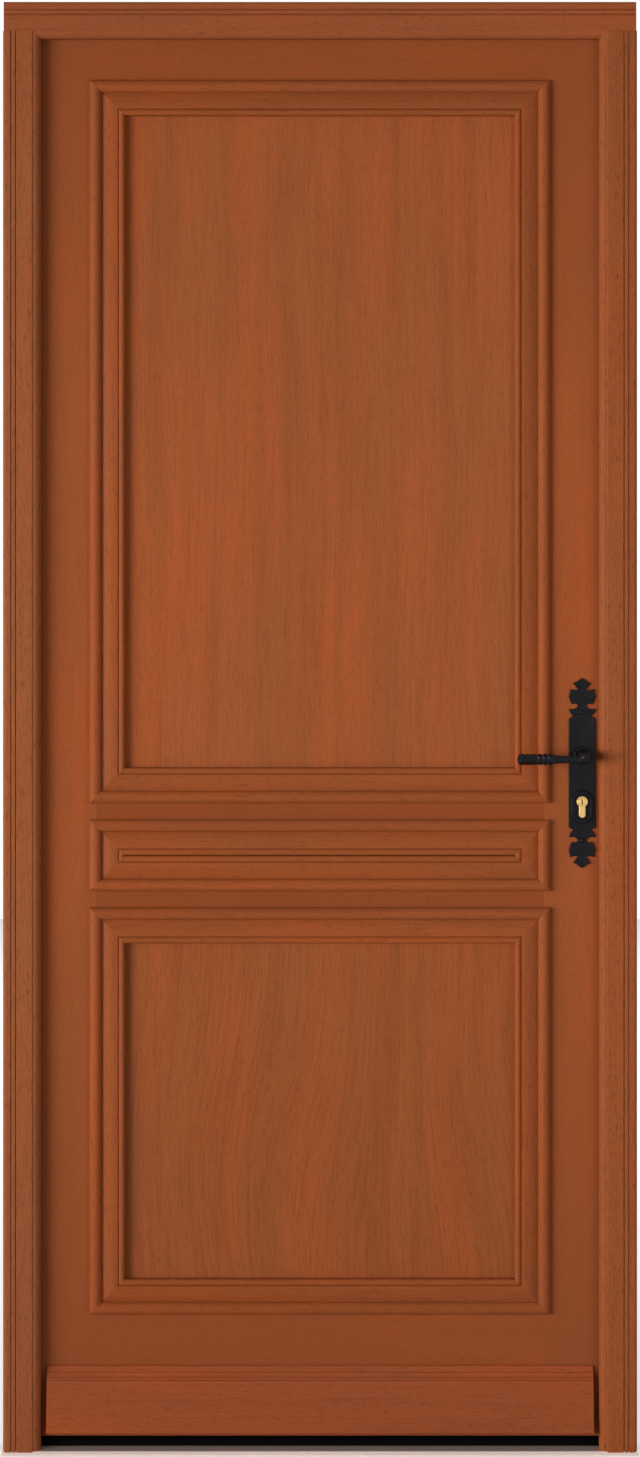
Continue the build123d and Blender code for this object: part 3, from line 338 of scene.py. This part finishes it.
for face in ("outside", "inside"):
    low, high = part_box(f"{face}_plate")
    collar_low, collar_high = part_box(f"{face}_collar")
    rim_low, rim_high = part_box(f"{face}_escutcheon")
    bolts_low, bolts_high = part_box("plate_bolts")
    middle = (low[0] + high[0]) / 2
    rising = [(middle + plate_half * across, high[2] - cross_length * (1.0 - along), bend)
              for across, along, bend in cross_outline]
    falling = [(middle + plate_half * across, low[2] + cross_length * (1.0 - along), bend)
               for across, along, bend in cross_outline]
    right_side = falling[::-1] + rising
    left_side = [(2 * middle - across, up, bend) for across, up, bend in right_side[1:-1]]
    bolt_inset = (bolts_high[0] - bolts_low[0]) / 2
    drawing = bpy.data.curves.new(f"{face}_forged_plate", "CURVE")
    drawing.dimensions = "2D"
    drawing.fill_mode = "BOTH"
    drawing.resolution_u = 5
    draw_loop(drawing, right_side + left_side[::-1])
    draw_loop(drawing, round_hole(middle, (collar_low[2] + collar_high[2]) / 2, spindle_hole))
    draw_loop(drawing, round_hole(middle, rim_high[2] - keyhole_inset, keyhole_half, keyhole_drop))
    for height in (bolts_low[2] + bolt_inset, bolts_high[2] - bolt_inset):
        draw_loop(drawing, round_hole(middle, height, bolt_hole))
    drawing.bevel_depth = filed_edge
    drawing.bevel_resolution = 2
    drawing.offset = -filed_edge
    drawing.extrude = (high[1] - low[1]) / 2 - filed_edge
    plate = bpy.data.objects.new(f"{face}_forged_plate", drawing)
    bpy.context.collection.objects.link(plate)
    pick(plate)
    bpy.ops.object.convert(target="MESH")
    plate = bpy.context.object
    plate.rotation_euler = (math.radians(90.0), 0.0, 0.0)
    plate.location = (0.0, (low[1] + high[1]) / 2, 0.0)
    bpy.ops.object.transform_apply(location=True, rotation=True, scale=True)
    bpy.ops.object.mode_set(mode="EDIT")
    bpy.ops.mesh.select_all(action="SELECT")
    bpy.ops.mesh.remove_doubles(threshold=0.00001)
    bpy.ops.mesh.normals_make_consistent(inside=False)
    bpy.ops.object.mode_set(mode="OBJECT")
    bpy.ops.object.shade_smooth_by_angle(angle=math.radians(15.0))
    plate.data.materials.append(black_iron)
    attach(plate, "leaf")
    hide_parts(f"{face}_plate")

# Collars, keyhole rims and bolts: turned and pressed iron of the same black. The two
# bolts have round heads and clamp both plates to the leaf.
for face in ("outside", "inside"):
    dress(black_iron, f"{face}_collar", f"{face}_escutcheon")
dress(black_iron, "plate_bolts")

# Levers: each forged from a square iron bar, twisted hot in the middle and dressed to a
# grooved knob, and welded to a turned hub that fits over the square spindle.
neck_radius = 0.0080
hub_radius = 0.0090
bar_drop = 0.0030
bar_corner = 0.22
bar_start = 0.0052
bar_runs = [(0.020, 0.0052), (0.034, 0.0057), (0.046, 0.0067), (0.0475, 0.0069)]
twist_runs = [(0.0488 + 0.0013 * step, 0.0072) for step in range(20)]
knob_runs = [(0.076, 0.0069), (0.082, 0.0070), (0.0880, 0.0073), (0.0890, 0.0073), (0.0893, 0.0063),
             (0.0912, 0.0063), (0.0915, 0.0073), (0.0925, 0.0075), (0.0960, 0.0074), (0.0990, 0.0064),
             (0.1008, 0.0044), (0.1015, 0.0018)]
twist_turn = math.radians(300.0)
hub_sides = 44
hub_step = 0.0010
dome_rises = (0.0, 15.0, 30.0, 45.0, 60.0, 75.0, 86.0)
socket_clearance = 0.0002


def draw_out(start, axis, way, runs, size, turn=0.0):
    """Draw the selected end out along an axis, in runs of a distance and a half width.

    Each run is turned a little from the last."""
    reached = 0.0
    for distance, half in runs:
        step = [0.0, 0.0, 0.0]
        step[axis] = way * (distance - reached)
        centre = list(start)
        centre[axis] += way * distance
        bpy.ops.mesh.extrude_region_move(TRANSFORM_OT_translate={"value": step})
        bpy.ops.transform.resize(value=(half / size,) * 3, center_override=centre)
        if turn:
            bpy.ops.transform.rotate(value=turn, orient_axis="XYZ"[axis], center_override=centre)
        reached, size = distance, half
    return reached, size


def work_with(tool, piece, operation):
    """Weld a tool's form to a piece or cut it out of the piece, and take the tool away."""
    pick(piece)
    change = piece.modifiers.new(operation, "BOOLEAN")
    change.operation = operation
    change.object = tool
    bpy.ops.object.modifier_apply(modifier=change.name)
    bpy.data.objects.remove(tool)


for face, way in (("outside", -1.0), ("inside", 1.0)):
    low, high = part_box(f"{face}_lever")
    collar_low, collar_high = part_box(f"{face}_collar")
    hub_place = ((collar_low[0] + collar_high[0]) / 2, high[1] if way < 0 else low[1],
                 (collar_low[2] + collar_high[2]) / 2)
    bar_y = low[1] + neck_radius if way < 0 else high[1] - neck_radius
    bar_place = (hub_place[0], bar_y, hub_place[2] - bar_drop)
    bpy.ops.object.select_all(action="DESELECT")
    bpy.ops.mesh.primitive_plane_add(size=2 * bar_start, location=bar_place,
                                     rotation=(0.0, math.radians(-90.0), 0.0))
    lever = bpy.context.object
    lever.name = f"{face}_forged_lever"
    bpy.ops.object.transform_apply(location=True, rotation=True, scale=True)
    bpy.ops.object.mode_set(mode="EDIT")
    bpy.ops.mesh.select_all(action="SELECT")
    bpy.ops.mesh.bevel(offset=bar_corner * bar_start, affect="VERTICES", segments=1)
    bpy.ops.mesh.select_all(action="SELECT")
    start, size = draw_out(bar_place, 0, -1.0, bar_runs, bar_start)
    place = (bar_place[0] - start, bar_y, bar_place[2])
    start, size = draw_out(place, 0, -1.0, [(far - start, half) for far, half in twist_runs], size,
                           twist_turn / len(twist_runs))
    place = (place[0] - start, bar_y, bar_place[2])
    knob_start = bar_place[0] - place[0]
    draw_out(place, 0, -1.0, [(far - knob_start, half) for far, half in knob_runs], size)
    bpy.ops.mesh.select_all(action="SELECT")
    bpy.ops.mesh.normals_make_consistent(inside=False)
    bpy.ops.object.mode_set(mode="OBJECT")
    rounding = lever.modifiers.new("rounding", "SUBSURF")
    rounding.levels = rounding.render_levels = 2
    bpy.ops.object.modifier_apply(modifier="rounding")
    bpy.ops.object.select_all(action="DESELECT")
    bpy.ops.mesh.primitive_circle_add(vertices=hub_sides, radius=neck_radius, fill_type="NGON",
                                      location=hub_place, rotation=(math.radians(-90.0 * way), 0.0, 0.0))
    hub = bpy.context.object
    bpy.ops.object.transform_apply(location=True, rotation=True, scale=True)
    bpy.ops.object.mode_set(mode="EDIT")
    bpy.ops.mesh.select_all(action="SELECT")
    neck = abs(bar_y - hub_place[1])
    collar_height = collar_high[1] - collar_low[1]
    dome = [(neck + neck_radius * math.sin(math.radians(rise)), neck_radius * math.cos(math.radians(rise)))
            for rise in dome_rises]
    shank = [(collar_height, neck_radius), (collar_height + hub_step, hub_radius)]
    draw_out(hub_place, 1, way, shank + dome, neck_radius)
    bpy.ops.mesh.select_all(action="SELECT")
    bpy.ops.mesh.normals_make_consistent(inside=False)
    bpy.ops.object.mode_set(mode="OBJECT")
    work_with(hub, lever, "UNION")
    spindle_low, spindle_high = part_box("spindle")
    spindle_middle = [(a + b) / 2 for a, b in zip(spindle_low, spindle_high)]
    socket_size = spindle_high[0] - spindle_low[0] + socket_clearance
    bpy.ops.object.select_all(action="DESELECT")
    bpy.ops.mesh.primitive_cube_add(size=1.0, location=spindle_middle)
    socket = bpy.context.object
    socket.scale = (socket_size, spindle_high[1] - spindle_low[1] + socket_clearance, socket_size)
    bpy.ops.object.transform_apply(location=True, rotation=True, scale=True)
    work_with(socket, lever, "DIFFERENCE")
    bpy.ops.object.mode_set(mode="EDIT")
    bpy.ops.mesh.select_all(action="SELECT")
    bpy.ops.mesh.remove_doubles(threshold=0.00002)
    bpy.ops.mesh.dissolve_degenerate(threshold=0.00002)
    bpy.ops.object.mode_set(mode="OBJECT")
    bpy.ops.object.shade_smooth_by_angle(angle=math.radians(40.0))
    lever.data.materials.append(black_iron)
    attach(lever, "lever_set")
    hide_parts(f"{face}_lever")

# Floor: a plain pale surface that the threshold lies on, which shows a little brighter to
# the camera and in reflections than it is lit.


def seen_rays(tree):
    """1 for what is seen, straight or in a reflection or through glass, and 0 for light on its way."""
    rays = tree.nodes.new("ShaderNodeLightPath")
    seen = rays.outputs["Is Camera Ray"]
    for kind in ("Is Glossy Ray", "Is Transmission Ray"):
        either = tree.nodes.new("ShaderNodeMath")
        either.operation = "MAXIMUM"
        link(tree, seen, either.inputs[0])
        link(tree, rays.outputs[kind], either.inputs[1])
        seen = either.outputs["Value"]
    return seen


bpy.ops.object.select_all(action="DESELECT")
floor_size = 14.0
bpy.ops.mesh.primitive_plane_add(size=floor_size, location=(0.0, 0.0, 0.0))
floor = bpy.context.object
floor.name = "floor"
floor_pale = (0.87, 0.87, 0.86, 1.0)
floor_grey = (0.85, 0.85, 0.84, 1.0)
floor_finish = worked_finish("pale floor", floor_pale, floor_grey, 0.8, 0.0, 0.1, (9.0, 9.0, 9.0), 0.0)
floor_tree = floor_finish.node_tree
floor_shader = floor_tree.nodes["Principled BSDF"]
floor_shader.inputs["Emission Color"].default_value = (1.0, 1.0, 1.0, 1.0)
floor_glow = spread(floor_tree, seen_rays(floor_tree), 0.0, 1.0, 0.30)
link(floor_tree, floor_glow, floor_shader.inputs["Emission Strength"])
floor.data.materials.append(floor_finish)

# Light: a soft lamp on each side in front of the door at about half its height, the left
# one farther off and stronger, a third overhead behind for the floor and the room side, and
# a pale surround.


def soft_lamp(name, place, aim, size, power, beam=180.0):
    """An oval lamp at a place, turned to a point and left out of the picture."""
    lamp_data = bpy.data.lights.new(name, "AREA")
    lamp_data.shape = "ELLIPSE"
    lamp_data.size, lamp_data.size_y = size
    lamp_data.energy = power
    lamp_data.spread = math.radians(beam)
    lamp = bpy.data.objects.new(name, lamp_data)
    bpy.context.collection.objects.link(lamp)
    lamp.location = place
    lamp.rotation_euler = (Vector(aim) - Vector(place)).to_track_quat("-Z", "Y").to_euler()
    lamp.visible_camera = False


lamp_height = 1.22
door_middle = (0.0, 0.0, lamp_height)
soft_lamp("left lamp", (-5.40, -4.20, lamp_height), door_middle, (7.0, 2.0), 81.0, 57.0)
soft_lamp("right lamp", (2.20, -2.60, lamp_height), door_middle, (1.6, 1.6), 20.0)
soft_lamp("room lamp", (0.0, 3.9, 3.2), (0.0, 2.6, 0.0), (7.0, 6.0), 130.0)

world = bpy.data.worlds.new("pale surround")
world.use_nodes = True
bpy.context.scene.world = world
sky = world.node_tree
surround = sky.nodes["Background"]
surround.inputs["Color"].default_value = (1.0, 1.0, 1.0, 1.0)
link(sky, spread(sky, seen_rays(sky), 0.0, 1.0, 1.0, 0.22), surround.inputs["Strength"])

# Camera: level at 1.32 m, square to the door, with the view dropped to frame it.
camera_height = 1.322
camera_distance = 4.400
view_height = 2.204
view_middle = 1.100
sensor = 36.0
camera_data = bpy.data.cameras.new("camera")
camera_data.sensor_fit = "VERTICAL"
camera_data.sensor_height = sensor
camera_data.lens = sensor * camera_distance / view_height
camera_data.shift_y = (view_middle - camera_height) / view_height
camera = bpy.data.objects.new("camera", camera_data)
bpy.context.collection.objects.link(camera)
camera.location = (0.0, -camera_distance, camera_height)
camera.rotation_euler = (math.radians(90.0), 0.0, 0.0)
bpy.context.scene.camera = camera
bpy.context.scene.view_settings.view_transform = "Standard"
